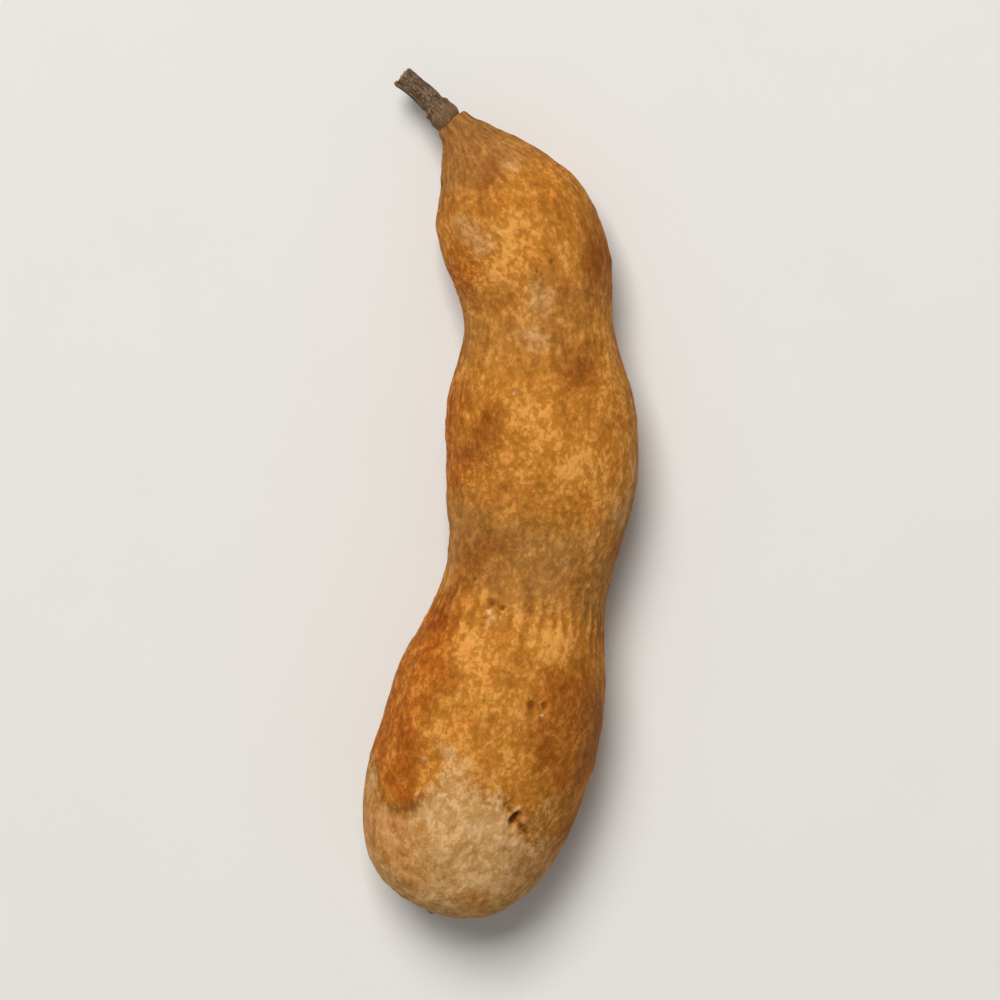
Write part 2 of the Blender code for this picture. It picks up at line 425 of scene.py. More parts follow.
def read_normals(made):
    """The directions that the mesh's vertices face."""
    flat = np.empty(len(made.data.vertices) * 3, np.float32)
    made.data.vertex_normals.foreach_get("vector", flat)
    return flat.reshape(-1, 3).astype(float)


def write_places(made, places):
    """Moves the mesh's vertices to these places, given in millimetres."""
    made.data.vertices.foreach_set("co", (places * MM).astype(np.float32).ravel())
    made.data.update()


def write_mask(made, name, values):
    """Keeps a value for each vertex, for the material to read."""
    mask = made.data.attributes.new(name, "FLOAT", "POINT")
    mask.data.foreach_set("value", np.asarray(values, np.float32))


def write_straight(made, places):
    """Keeps each vertex's place before the bend, in millimetres, so that the finish follows the piece."""
    kept = made.data.attributes.new("straight", "FLOAT_VECTOR", "POINT")
    kept.data.foreach_set("vector", places.astype(np.float32).ravel())


def settle(made, node):
    """Moves the mesh, along the surface only, to where the CAD solid's box has its middle."""
    low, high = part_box(node)
    places = read_places(made)
    middle = (places.min(axis=0) + places.max(axis=0)) / 2
    for axis in range(2):
        places[:, axis] += (low[axis] + high[axis]) / 2 / MM - middle[axis]
    write_places(made, places)


def finish_piece(made, node):
    """Shades the piece smooth, says which body it rides on, and hides the CAD solid that it stands for."""
    deselect_all()
    made.select_set(True)
    bpy.context.view_layer.objects.active = made
    bpy.ops.object.shade_smooth()
    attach(made, "root")
    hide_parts(node)


# ---------------------------------------------------------------- sculpting


def unevenness(places, size, turn=0.0):
    """Smooth noise from about -1 to 1, with features of this size. Another turn gives other noise."""
    moved = places / size + np.array([31.7, 11.3, 5.9]) * (1 + turn)
    return np.array([noise.noise(place) for place in moved.tolist()])


def ease(values, low, high):
    """0 below low, 1 above high, and a smooth way between."""
    share = np.clip((values - low) / (high - low), 0, 1)
    return share * share * (3 - 2 * share)


def wander(places, size, reach, turn=0.0):
    """Moves places about by smooth noise, so that what is measured from them has no plain outline."""
    noise.seed_set(WANDER_SEED)  # without it, each run would have other vectors
    moved = places / size + np.array([17.3, 41.1, 9.7]) * (1 + turn)
    return places + reach * np.array([noise.noise_vector(place) for place in moved.tolist()])


def angles_round(places):
    """The angle of each place round the straight pod, in degrees from +X over the top, from 0 to 360."""
    return np.degrees(np.arctan2(places[:, 2] / FLATNESS, places[:, 0])) % 360


def depth_in(places, spots):
    """How deep each place lies in round spots, which run together: 1 at a spot's middle, 0 outside."""
    outside = np.ones(len(places))
    for along, degrees, reach in spots:
        away = np.linalg.norm(places - on_skin(along, degrees), axis=1) / reach
        outside *= np.clip(away, 0, 1)
    return 1 - outside


def depth_in_line(places, points, reach):
    """How deep each place lies in a line on the skin: 1 on the line, 0 at its edges."""
    away = np.full(len(places), np.inf)
    for start, end in zip(points, points[1:]):
        first = on_skin(*start)
        way = on_skin(*end) - first
        share = np.clip((places - first) @ way / (way @ way), 0, 1)
        away = np.minimum(away, np.linalg.norm(places - first - share[:, None] * way, axis=1))
    return np.clip(1 - away / reach, 0, 1)


def lengthwise_folds(places, angles):
    """Shallow folds along the pod, at its waists and its neck."""
    wave = np.sin(np.radians(angles * 360 / FOLD_SPACING) + 2.4 * unevenness(places, 9.0, 3))
    wave = 0.6 * wave + unevenness(places * (1, 0.4, 1), 2.4, 4)
    folds = np.zeros(len(places))
    for at, reach, depth in FOLD_DEPTHS:
        folds += depth * (1 - ease(np.abs(places[:, 1] - at), 0, reach)) * wave
    return folds * (1 - 0.85 * ease(places[:, 1], *FOLDS_END))


def fine_wrinkles(places, angles):
    """Fine lengthwise wrinkles where the pod narrows, by how far they stand up or sink in."""
    wave = np.sin(np.radians(angles * 360 / WRINKLE_SPACING) + 5.0 * unevenness(places, 5.0, 12))
    wave = (wave + 0.9 * unevenness(places * (1, 0.45, 1), 1.0, 14)) / 1.5
    broken = ease(unevenness(places * (1, 0.5, 1), 2.6, 13), -0.75, 0.15)
    wrinkles = np.zeros(len(places))
    for at, reach, depth in WRINKLES:
        wrinkles += depth * (1 - ease(np.abs(places[:, 1] - at), 0, reach))
    return wave * broken * wrinkles * (1 - ease(places[:, 1], *WRINKLES_END))


def sculpt_pod(made):
    """Gives the smooth pod its lumps, folds, worn end and marks, and keeps the masks for its finish."""
    settings = bpy.context.scene.tamarind_skin
    smooth = read_places(made)
    outwards = read_normals(made)
    along = smooth[:, 1]
    angles = angles_round(smooth)
    from_seam = np.minimum(angles % 180, 180 - angles % 180)
    seam = np.exp(-((from_seam / SEAM_SPREAD) ** 2))

    frayed = wander(smooth, 1.5, 0.4)
    astray = wander(wander(smooth, 5.0, 1.6, 1), 1.8, 0.7, 2)
    frayed_angles = angles_round(frayed)
    worn_edge = np.interp(frayed_angles, *zip(*WORN_END))
    worn = np.clip(0.5 + (worn_edge - frayed[:, 1]) / np.interp(frayed_angles, *zip(*WORN_FADES)), 0, 1)
    scuffed_and_shaded = depth_in(astray, SCUFFS_AND_SHADE)
    nicked = wander(smooth, 0.5, 0.12, 3)
    pits = depth_in(nicked, PITS)
    hole = depth_in_line(nicked, HOLE, HOLE_REACH)
    crack = np.maximum(*(depth_in_line(nicked, line, CRACK_REACH) for line in (CRACK, NICK)))
    lip = depth_in_line(nicked, LIP, LIP_REACH)
    flakes = depth_in(wander(smooth, 0.55, 0.3, 6), FLAKES)
    stain = depth_in_line(frayed, STAIN, STAIN_REACH)
    tip = np.clip(1 - np.linalg.norm(smooth - (0, -BEAK_LENGTH, 0), axis=1) / TIP_REACH, 0, 1)
    adrift = wander(smooth, 7.5, 4.0, 5)[:, 1]
    dull_and_shaded = np.maximum.reduce(
        [share * (1 - ease(np.abs(adrift - at), 0, reach)) for at, reach, share in DULL_AND_SHADED]
    )

    relief = np.zeros(len(smooth))
    calm = 1 - 0.4 * ease(scuffed_and_shaded, 0.1, 0.6)
    for turn, (size, height) in enumerate(LUMPS):
        fine = calm if size < 2 else 1.0
        relief += settings.lump_height / MM * height * fine * unevenness(smooth, size, turn)
    relief += GRANULE_HEIGHT * calm * ease(unevenness(smooth, GRANULE_SIZE, 8), 0.15, 0.6)
    relief -= DIMPLE_DEPTH * ease(unevenness(smooth, DIMPLE_SIZE, 9), 0.3, 0.75)
    relief += lengthwise_folds(smooth, angles)
    wrinkles = fine_wrinkles(smooth, angles)
    relief += wrinkles
    relief -= WORN_STEP * ease(worn + 0.04 * unevenness(smooth, 0.9, 5), 0.46, 0.58)
    relief -= PIT_DEPTH * ease(pits, 0.1, 0.75)
    round_pits = depth_in(nicked, [(at, degrees, reach * 1.7) for at, degrees, reach in PITS])
    relief += PIT_RIM * ease(round_pits, 0.05, 0.35)
    relief += LIP_RISE * ease(lip, 0.05, 0.8)
    relief += FLAKE_RISE * ease(flakes, 0.05, 0.4)
    relief -= HOLE_DEPTH * ease(hole, 0.05, 0.6)
    relief -= CRACK_DEPTH * ease(crack, 0.0, 0.7)

    straight = smooth + outwards * relief[:, None]
    straight[:, 0] *= 1 + SEAM_RISE * seam * (1 + 0.5 * unevenness(smooth, 3.5, 10))
    bent = carry(straight, *pod_line())
    bent[:, 2] = np.maximum(bent[:, 2], 0.0)
    write_places(made, bent)
    write_straight(made, smooth)
    dark = np.maximum.reduce(
        [0.85 * ease(pits, 0.2, 0.95), ease(hole, 0.2, 0.85), 0.75 * ease(crack, 0.25, 1.0)]
    )
    torn = np.maximum(ease(flakes, 0.15, 0.85), 0.28 * ease(lip, 0.15, 0.9)) * (1 - ease(hole, 0.15, 0.5))
    for name, values in (
        ("worn", worn),
        ("rubbed", depth_in(astray, RUBBED)),
        ("scuffed_and_shaded", scuffed_and_shaded),
        ("warm_and_shaded", depth_in(astray, WARM_AND_SHADED)),
        ("golden_and_lit", depth_in(astray, GOLDEN_AND_LIT)),
        ("tanned", depth_in(astray, TANNED)),
        ("dull_and_shaded", dull_and_shaded),
        ("seam", seam),
        ("stain", np.maximum(0.85 * ease(stain, 0.05, 0.95), tip)),
        ("dark", dark),
        ("flake", torn),
        ("neck", ease(along + 2.0 * unevenness(smooth, 2.5, 11), 80.0, 90.0)),
        ("wrinkles", wrinkles),
    ):
        write_mask(made, name, values)


def sculpt_stalk(made):
    """Gives the stalk its fibres, collars and broken end, and keeps the masks for its finish."""
    smooth = read_places(made)
    outwards = read_normals(made)
    reach = smooth[:, 1] - STALK_GAP
    angles = np.arctan2(smooth[:, 2], smooth[:, 0])
    drawn = smooth * (1, 0.22, 1)
    fibres = unevenness(drawn, 0.42, 1) + 0.5 * unevenness(drawn, 0.2, 2)
    collars = sum(share * np.exp(-(((reach - at) / spread) ** 2)) for at, spread, share in COLLARS)
    radius = np.hypot(smooth[:, 0], smooth[:, 2])
    at_end = ease(reach, STALK_LENGTH - 0.45, STALK_LENGTH - 0.1)
    across = smooth * (1, 0, 1)
    broken = sum(
        height * unevenness(across, size, turn) for turn, (size, height) in enumerate(BREAK_HEIGHTS, 7)
    )
    relief = FIBRE_HEIGHT * fibres + COLLAR_HEIGHT * collars * (1 + 0.3 * np.sin(3 * angles))
    straight = smooth + outwards * (relief * (1 - at_end))[:, None]
    straight[:, 1] += at_end * (broken - BREAK_SHORTENS)
    write_places(made, carry(straight, *stalk_line()))
    write_straight(made, smooth)
    write_mask(made, "broken", at_end)
    write_mask(made, "core", 1 - ease(radius, 0.0, STALK_RADIUS))
    write_mask(made, "foot", 1 - ease(reach, 0.2, 1.6))


# ---------------------------------------------------------------- finishes


def put(tree, kind, wires=None, **settings):
    """Adds a node. wires maps an input to its value, or to the socket that feeds it."""
    made = tree.nodes.new(kind)
    for name, value in settings.items():
        setattr(made, name, value)
    for key, value in (wires or {}).items():
        if isinstance(value, bpy.types.NodeSocket):
            tree.links.new(value, made.inputs[key])
        else:
            made.inputs[key].default_value = value
    return made


def maths(tree, operation, first, second=0.0):
    """A value worked out from one or two others."""
    return put(tree, "ShaderNodeMath", {0: first, 1: second}, operation=operation).outputs[0]


def weigh(tree, first, *others):
    """The first value plus shares of the others, each given with its share."""
    for value, share in others:
        first = maths(tree, "ADD", first, maths(tree, "MULTIPLY", value, share))
    return first


def between(tree, value, low, high, to_low=0.0, to_high=1.0):
    """The value's way from low to high, eased, as a way from to_low to to_high."""
    wires = {"Value": value, "From Min": low, "From Max": high, "To Min": to_low, "To Max": to_high}
    return put(tree, "ShaderNodeMapRange", wires, interpolation_type="SMOOTHSTEP").outputs[0]


def grains(tree, place, scale, detail=2.0, roughness=0.5, distortion=0.0):
    """Noise from 0 to 1."""
    wires = {"Vector": place, "Scale": scale, "Detail": detail}
    wires |= {"Roughness": roughness, "Distortion": distortion}
    return put(tree, "ShaderNodeTexNoise", wires).outputs["Fac"]


def vectors(tree, operation, first, second):
    """A place worked out from another one, and from a second one or a number."""
    wires = {0: first, 3 if operation == "SCALE" else 1: second}
    return put(tree, "ShaderNodeVectorMath", wires, operation=operation).outputs[0]


def stray(tree, place, scale, reach):
    """Places moved about by noise, so that what is drawn at them has no plain outline."""
    bent = put(tree, "ShaderNodeTexNoise", {"Vector": place, "Scale": scale})
    return vectors(tree, "ADD", place, vectors(tree, "SCALE", bent.outputs["Color"], reach))


def blend(tree, share, first, second, how="MIX"):
    """A colour between two others. A colour is a socket, or three numbers."""
    wires = {0: share}
    for socket, value in ((6, first), (7, second)):
        wires[socket] = value if isinstance(value, bpy.types.NodeSocket) else (*value, 1.0)
    return put(tree, "ShaderNodeMix", wires, data_type="RGBA", blend_type=how).outputs[2]


def lay(tree, under, over, where, share, how="MIX"):
    """A colour laid over another where a mask says so, at a share of its strength."""
    return blend(tree, maths(tree, "MULTIPLY", where, share), under, over, how)


def mask(tree, name):
    """One of the values that the mesh keeps for each vertex."""
    return put(tree, "ShaderNodeAttribute", attribute_name=name).outputs["Fac"]


def effect(name, takes, gives):
    """Starts a node group. takes and gives list its sockets: name, type and default."""
    tree = bpy.data.node_groups.new(name, "ShaderNodeTree")
    for label, kind, default in takes:
        socket = tree.interface.new_socket(label, in_out="INPUT", socket_type=f"NodeSocket{kind}")
        if default is not None:
            socket.default_value = default
    for label in gives:
        tree.interface.new_socket(label, in_out="OUTPUT", socket_type="NodeSocketFloat")
    return tree, tree.nodes.new("NodeGroupInput").outputs, tree.nodes.new("NodeGroupOutput").inputs


def scurf_effect():
    """Fine flaky grains over a surface: bright Flakes, and Relief, their height."""
    takes = [("Place", "Vector", None), ("Flake Size", "Float", 0.6), ("Wander", "Float", 0.6)]
    tree, given, out = effect("scurf", takes, ("Flakes", "Relief"))
    scale = maths(tree, "DIVIDE", 1.0, given["Flake Size"])
    size = {share: maths(tree, "MULTIPLY", scale, share) for share in (0.8, 1.3, 1.6, 3.0)}
    clusters = grains(tree, given["Place"], size[0.8], 3.0, 0.6, given["Wander"])
    cells = put(
        tree,
        "ShaderNodeTexVoronoi",
        {"Vector": stray(tree, given["Place"], size[1.6], 0.35), "Scale": size[1.3], "Smoothness": 0.6},
        feature="SMOOTH_F1",
    ).outputs["Distance"]
    crumbs = between(tree, cells, 0.7, 0.1)
    grain = grains(tree, given["Place"], size[3.0], 3.0, 0.62, 0.2)
    flaky = weigh(tree, maths(tree, "MULTIPLY", clusters, 0.58), (crumbs, 0.1), (grain, 0.32))
    tree.links.new(between(tree, flaky, 0.38, 0.6), out["Flakes"])
    high = weigh(tree, maths(tree, "MULTIPLY", clusters, 0.6), (crumbs, 0.25), (grain, 0.35))
    tree.links.new(high, out["Relief"])
    return tree


def specks_effect():
    """Small scattered spots of uneven size and outline, in some of the cells that they could be in."""
    takes = [
        ("Place", "Vector", None), ("Spacing", "Float", 2.5),
        ("Size", "Float", 0.1), ("Share", "Float", 0.4),
    ]
    tree, given, out = effect("specks", takes, ("Specks",))
    scale = maths(tree, "DIVIDE", 1.0, given["Spacing"])
    moved = stray(tree, given["Place"], 2.6, 0.45)
    cells = put(tree, "ShaderNodeTexVoronoi", {"Vector": moved, "Scale": scale})
    chance = put(tree, "ShaderNodeSeparateColor", {0: cells.outputs["Color"]})
    chosen = maths(tree, "LESS_THAN", chance.outputs[0], given["Share"])
    reach = maths(tree, "MULTIPLY", given["Size"], maths(tree, "ADD", chance.outputs[1], 0.35))
    spot = between(tree, cells.outputs["Distance"], reach, maths(tree, "MULTIPLY", reach, 0.3))
    tree.links.new(maths(tree, "MULTIPLY", spot, chosen), out["Specks"])
    return tree


def ragged_effect():
    """Gives a soft mask a ragged edge."""
    takes = [
        ("Place", "Vector", None), ("Mask", "Float", 0.0), ("Tatter Size", "Float", 1.5),
        ("Tatter", "Float", 0.4), ("Edge", "Float", 0.2), ("Softness", "Float", 0.1),
    ]
    tree, given, out = effect("ragged edge", takes, ("Mask", "Rim"))
    scale = maths(tree, "DIVIDE", 1.0, given["Tatter Size"])
    wobble = maths(tree, "SUBTRACT", grains(tree, given["Place"], scale, 5.0, 0.65), 0.5)
    torn = weigh(tree, given["Mask"], (wobble, given["Tatter"]))
    whole = between(tree, torn, given["Edge"], maths(tree, "ADD", given["Edge"], given["Softness"]))
    tree.links.new(whole, out["Mask"])
    aside = maths(tree, "MULTIPLY", maths(tree, "SUBTRACT", 1.0, whole), whole)
    tree.links.new(maths(tree, "MULTIPLY", aside, 4.0), out["Rim"])
    return tree


def fibre_effect():
    """Fibres that run along a piece, which is modelled along +Y."""
    takes = [("Place", "Vector", None), ("Width", "Float", 0.3), ("Stretch", "Float", 12.0)]
    tree, given, out = effect("lengthwise fibres", takes, ("Fibres",))
    across = maths(tree, "DIVIDE", 1.0, given["Width"])
    along = maths(tree, "DIVIDE", across, given["Stretch"])
    scales = put(tree, "ShaderNodeCombineXYZ", {0: across, 1: along, 2: across}).outputs[0]
    drawn = vectors(tree, "MULTIPLY", given["Place"], scales)
    tree.links.new(between(tree, grains(tree, drawn, 1.0, 3.0, 0.6, 0.2), 0.3, 0.7), out["Fibres"])
    return tree


def use_effect(tree, name, **wires):
    """Places an effect in a material. Its inputs are named with _ for a space."""
    made = tree.nodes.new("ShaderNodeGroup")
    made.node_tree = bpy.data.node_groups[name]
    for key, value in wires.items():
        socket = made.inputs[key.replace("_", " ").title()]
        if isinstance(value, bpy.types.NodeSocket):
            tree.links.new(value, socket)
        else:
            socket.default_value = value
    return made.outputs


def ragged(tree, place, name, shift=None):
    """One of the mesh's masks with a ragged edge: its Mask and its Rim. A shift moves the edge about."""
    soft = mask(tree, name)
    if shift is not None:
        soft = maths(tree, "ADD", soft, shift)
    size, tatter, edge, softness = TATTERS[name]
    return use_effect(
        tree, "ragged edge", place=place, mask=soft,
        tatter_size=size, tatter=tatter, edge=edge, softness=softness,
    )


def specks(tree, place, spacing, size, share):
    """Small scattered spots."""
    return use_effect(tree, "specks", place=place, spacing=spacing, size=size, share=share)["Specks"]


def lengthwise(tree, place, width):
    """Fibres along a piece."""
    return use_effect(tree, "lengthwise fibres", place=place, width=width, stretch=16.0)["Fibres"]


def new_finish(name):
    """A material, its node tree and its shader."""
    made = bpy.data.materials.new(name)
    made.use_nodes = True
    return made, made.node_tree, made.node_tree.nodes["Principled BSDF"]


def raise_surface(tree, shader, height, distance):
    """Gives the finish its finest relief. The distance is in millimetres."""
    bump = put(tree, "ShaderNodeBump", {"Height": height, "Distance": distance * MM, "Strength": 1.0})
    tree.links.new(bump.outputs["Normal"], shader.inputs["Normal"])


def pod_finish():
    """Dry, scurfy, cinnamon-brown skin: mottled, pale and dusty where worn, browner where scuffed, with
    painted shade on the waists and flanks and painted light atop the first swelling.
    """
    colours = bpy.context.scene.tamarind_skin
    made, tree, shader = new_finish("tamarind skin")
    place = put(tree, "ShaderNodeAttribute", attribute_name="straight").outputs["Vector"]
    drawn = vectors(tree, "MULTIPLY", place, (1.0, 0.75, 1.0))

    scurf = use_effect(tree, "scurf", place=drawn, flake_size=0.7, wander=0.15)
    flakes = scurf["Flakes"]
    mottle = between(tree, grains(tree, drawn, 0.55, 4.0, 0.6, 0.4), 0.3, 0.7)
    cloud = between(tree, grains(tree, place, 0.17, 3.0, 0.5, 0.5), 0.3, 0.7)
    # Golden patches lighten the tone: partly real skin, partly painted light on the first swelling's upper
    # part.
    golden_and_lit = ragged(tree, place, "golden_and_lit")["Mask"]
    tone = weigh(
        tree, maths(tree, "MULTIPLY", flakes, 0.44),
        (mottle, 0.3), (cloud, 0.26), (golden_and_lit, 0.2), (mask(tree, "wrinkles"), 2.8),
    )
    skin = blend(tree, between(tree, tone, 0.02, 0.56), colours.gap_colour, colours.skin_colour)
    skin = blend(tree, between(tree, tone, 0.48, 0.95), skin, colours.fleck_colour)
    hue = grains(tree, place, 0.34, 3.0, 0.6, 0.3)
    speckle = grains(tree, drawn, 1.15, 2.0, 0.5)
    for drift, ways in ((hue, HUE_DRIFTS), (speckle, SPECKLE_DRIFTS)):
        for low, high, most, tint in ways:
            skin = blend(tree, between(tree, drift, low, high, 0.0, most), skin, tint, "MULTIPLY")

    # The warm mask lays this tint as ripened skin and as painted shade on the left flank.
    ripe_and_shade_share = between(tree, tone, 0.85, 0.2, 0.6, 1.0)
    skin = lay(tree, skin, colours.warm_and_shade_tint, ragged(tree, place, "warm_and_shaded")["Mask"], ripe_and_shade_share, "MULTIPLY")
    # Duller at the waists and the neck: partly the skin there, partly painted shade in the waists.
    dull_and_shaded_skin = blend(tree, tone, colours.dull_and_shade_gap_colour, colours.dull_and_shade_colour)
    skin = lay(tree, skin, dull_and_shaded_skin, mask(tree, "dull_and_shaded"), between(tree, hue, 0.3, 0.62, 0.25, 0.55))
    # Browner where scuffed, and darker where this mask paints shade on the first waist and the right flank.
    scuffs_and_shade = ragged(tree, place, "scuffed_and_shaded")["Mask"]
    skin = lay(tree, skin, colours.scuff_and_shade_tint, scuffs_and_shade, 0.85, "MULTIPLY")

    unevenly = maths(tree, "MULTIPLY", maths(tree, "SUBTRACT", flakes, 0.5), 0.16)
    wear = ragged(tree, place, "worn", unevenly)
    rubs = ragged(tree, place, "rubbed", unevenly)["Mask"]
    ground = between(tree, grains(tree, place, 0.4, 3.0, 0.6, 0.5), 0.34, 0.66)
    dusty = blend(tree, ground, colours.worn_deep_colour, colours.worn_colour)
    dusty = blend(tree, between(tree, tone, 0.5, 0.12), dusty, colours.worn_gap_colour)
    dusty = blend(tree, between(tree, tone, 0.5, 0.92), dusty, colours.dust_colour)
    dusty = lay(tree, dusty, colours.warm_and_shade_tint, ragged(tree, place, "tanned")["Mask"], 0.6, "MULTIPLY")
    skin = lay(tree, skin, colours.gap_colour, wear["Rim"], 0.3)
    skin = lay(tree, skin, dusty, rubs, 0.5)
    skin = lay(tree, skin, dusty, wear["Mask"], 0.92)

    fibres = lengthwise(tree, place, 0.45)
    skin = blend(tree, between(tree, fibres, 0.75, 1.0, 0.0, 0.08), skin, colours.fleck_colour)
    skin = blend(tree, between(tree, fibres, 0.2, 0.0, 0.0, 0.1), skin, colours.gap_colour)
    neck = mask(tree, "neck")
    stringy = blend(tree, fibres, colours.stain_colour, colours.neck_colour)
    skin = lay(tree, skin, stringy, neck, 0.85)
    crest = between(tree, weigh(tree, mask(tree, "seam"), (mottle, 0.03)), *SEAM_LINE)
    skin = lay(tree, skin, colours.stain_colour, crest, 0.45)
    faded = between(tree, tone, 0.9, 0.3, 0.3, 0.85)
    skin = lay(tree, skin, colours.stain_colour, mask(tree, "stain"), faded)
    dots = specks(tree, place, 2.6, 0.1, 0.5)
    chips = specks(tree, drawn, 3.1, 0.09, 0.3)
    skin = lay(tree, skin, colours.stain_colour, dots, 0.55)
    skin = lay(tree, skin, colours.fleck_colour, chips, 0.6)
    skin = lay(tree, skin, colours.flake_colour, mask(tree, "flake"), 0.85)
    skin = blend(tree, mask(tree, "dark"), skin, colours.pit_colour)
    tree.links.new(skin, shader.inputs["Base Color"])

    rough = between(tree, flakes, 0.0, 1.0, 0.68, 0.86)
    rough = weigh(tree, rough, (scuffs_and_shade, -0.08), (wear["Mask"], 0.06))
    tree.links.new(rough, shader.inputs["Roughness"])
    shader.inputs["Specular IOR Level"].default_value = 0.1

    height = weigh(tree, scurf["Relief"], (mottle, 0.5))
    height = maths(tree, "MULTIPLY", height, between(tree, wear["Mask"], 0.0, 1.0, 1.0, 0.75))
    height = weigh(tree, height, (dots, -0.6), (chips, 0.4))
    strands = maths(tree, "ADD", maths(tree, "MULTIPLY", neck, 0.9), 0.05)
    raise_surface(tree, shader, weigh(tree, height, (fibres, strands)), colours.scurf_height / MM)
    return made


def stalk_finish():
    """Dry fibrous bark, greyed, with paler broken wood at the end."""
    colours = bpy.context.scene.tamarind_stalk
    made, tree, shader = new_finish("tamarind stalk")
    place = put(tree, "ShaderNodeAttribute", attribute_name="straight").outputs["Vector"]
    fibres = lengthwise(tree, place, 0.16)
    scurf = use_effect(tree, "scurf", place=place, flake_size=0.34, wander=0.4)
    bark = blend(tree, fibres, colours.crack_colour, colours.bark_colour)
    bark = blend(tree, between(tree, scurf["Flakes"], 0.55, 1.0, 0.0, 0.5), bark, colours.ash_colour)
    bark = lay(tree, bark, colours.foot_colour, mask(tree, "foot"), 0.5)
    lenticels = specks(tree, place, 1.1, 0.16, 0.5)
    bark = lay(tree, bark, colours.ash_colour, lenticels, 0.5)
    splinters = grains(tree, place, 7.0, 4.0, 0.7)
    wood = blend(tree, between(tree, splinters, 0.35, 0.65), colours.foot_colour, colours.wood_colour)
    wood = blend(tree, between(tree, mask(tree, "core"), 0.6, 0.85), wood, colours.crack_colour)
    ends = ragged(tree, place, "broken")["Mask"]
    tree.links.new(blend(tree, ends, bark, wood), shader.inputs["Base Color"])
    tree.links.new(between(tree, fibres, 0.0, 1.0, 0.95, 0.78), shader.inputs["Roughness"])
    shader.inputs["Specular IOR Level"].default_value = 0.2
    height = weigh(tree, fibres, (scurf["Relief"], 0.6), (lenticels, 0.4), (splinters, ends))
    raise_surface(tree, shader, height, BARK_RELIEF)
    return made


# ---------------------------------------------------------------- settings


def colour(name, description, default):
    """A colour that a user can change."""
    return FloatVectorProperty(
        name=name, description=description, subtype="COLOR", min=0.0, max=1.0, default=default,
    )


class TAMARIND_PG_skin(bpy.types.PropertyGroup):
    """The pod's relief and the colours of its skin"""

    lump_height: FloatProperty(
        name="Lump Height", description="Height of the skin's unevenness. 1 mm gives its natural heights",
        default=1.0 * MM, min=0.0, max=2.0 * MM, unit="LENGTH", precision=5,
    )
    scurf_height: FloatProperty(
        name="Scurf Height", description="Height of the finest flakes on the skin",
        default=0.15 * MM, min=0.0, max=0.4 * MM, unit="LENGTH", precision=6,
    )
    skin_colour: colour(
        "Skin", "Colour of the skin between its flecks and its gaps", (0.446, 0.167, 0.0195),
    )
    gap_colour: colour("Gaps", "Colour of the gaps between the flakes of scurf", (0.28, 0.095, 0.0075))
    fleck_colour: colour("Flecks", "Colour of the lightest flakes of scurf", (0.68, 0.31, 0.066))
    # Also painted shade: with the warm mask this tint darkens the pod's left flank.
    warm_and_shade_tint: colour(
        "Warm Skin", "Tint of the skin where it has ripened to a deeper brown", (0.84, 0.58, 0.30),
    )
    # Partly painted shade: the dull colours also darken the waists where shade falls.
    dull_and_shade_colour: colour(
        "Dull Skin", "Colour that the skin goes towards at the waists and the neck", (0.38, 0.21, 0.07),
    )
    dull_and_shade_gap_colour: colour(
        "Dull Gaps", "Colour of the gaps between the flakes of scurf on the dull skin",
        (0.17, 0.083, 0.024),
    )
    # This tint is painted shade as well as scuffing: it also darkens the first waist and the right flank.
    scuff_and_shade_tint: colour("Scuffs", "Tint of the skin where it is scuffed", (0.61, 0.45, 0.24))
    worn_colour: colour("Worn Skin", "Colour of the skin where it is worn", (0.60, 0.345, 0.145))
    worn_deep_colour: colour(
        "Deeper Worn Skin", "Colour of the worn skin where it is less pale", (0.50, 0.265, 0.082),
    )
    worn_gap_colour: colour(
        "Worn Gaps", "Colour of what scurf is left where the skin is worn", (0.38, 0.19, 0.052),
    )
    dust_colour: colour("Dust", "Colour of the lightest dust on the worn skin", (0.70, 0.445, 0.215))
    stain_colour: colour(
        "Stains", "Colour of brown stains, specks and the seams' crests", (0.20, 0.068, 0.011),
    )
    neck_colour: colour("Neck", "Colour of the woody skin at the neck", (0.37, 0.175, 0.055))
    pit_colour: colour("Pits", "Colour inside pits, cracks and holes", (0.115, 0.028, 0.005))
    flake_colour: colour("Torn Flakes", "Colour of torn flakes of the shell", (0.80, 0.48, 0.245))


class TAMARIND_PG_stalk(bpy.types.PropertyGroup):
    """The colours of the stalk"""

    bark_colour: colour("Bark", "Colour of the bark", (0.19, 0.115, 0.062))
    crack_colour: colour("Cracks", "Colour between the bark's fibres", (0.05, 0.028, 0.015))
    ash_colour: colour("Ash", "Colour of the greyed fibres", (0.36, 0.27, 0.18))
    wood_colour: colour("Broken Wood", "Colour of the wood at the broken end", (0.55, 0.38, 0.2))
    foot_colour: colour(
        "Foot", "Colour of the stalk's foot, where it joins the pod", (0.23, 0.125, 0.05),
    )


class TAMARIND_PG_stage(bpy.types.PropertyGroup):
    """The floor, the camera and the lights"""

    floor_colour: colour("Floor", "Colour of the floor", (0.74, 0.735, 0.72))
    camera_distance: FloatProperty(
        name="Camera Distance", description="Distance from the camera to the pod's middle",
        default=0.51, min=0.1, max=5.0, unit="LENGTH", subtype="DISTANCE",
    )
    camera_lean: FloatProperty(
        name="Camera Lean", description="How far the camera leans from straight above, towards the stalk",
        default=math.radians(7), min=0.0, max=math.radians(80), unit="ROTATION", subtype="ANGLE",
    )
    key_power: FloatProperty(
        name="Key Light", description="Power of the main light",
        default=38.0, min=0.0, max=500.0, unit="POWER",
    )
    sky_strength: FloatProperty(
        name="Sky", description="Brightness of the soft light from all round",
        default=0.26, min=0.0, max=2.0,
    )


# ---------------------------------------------------------------- pieces


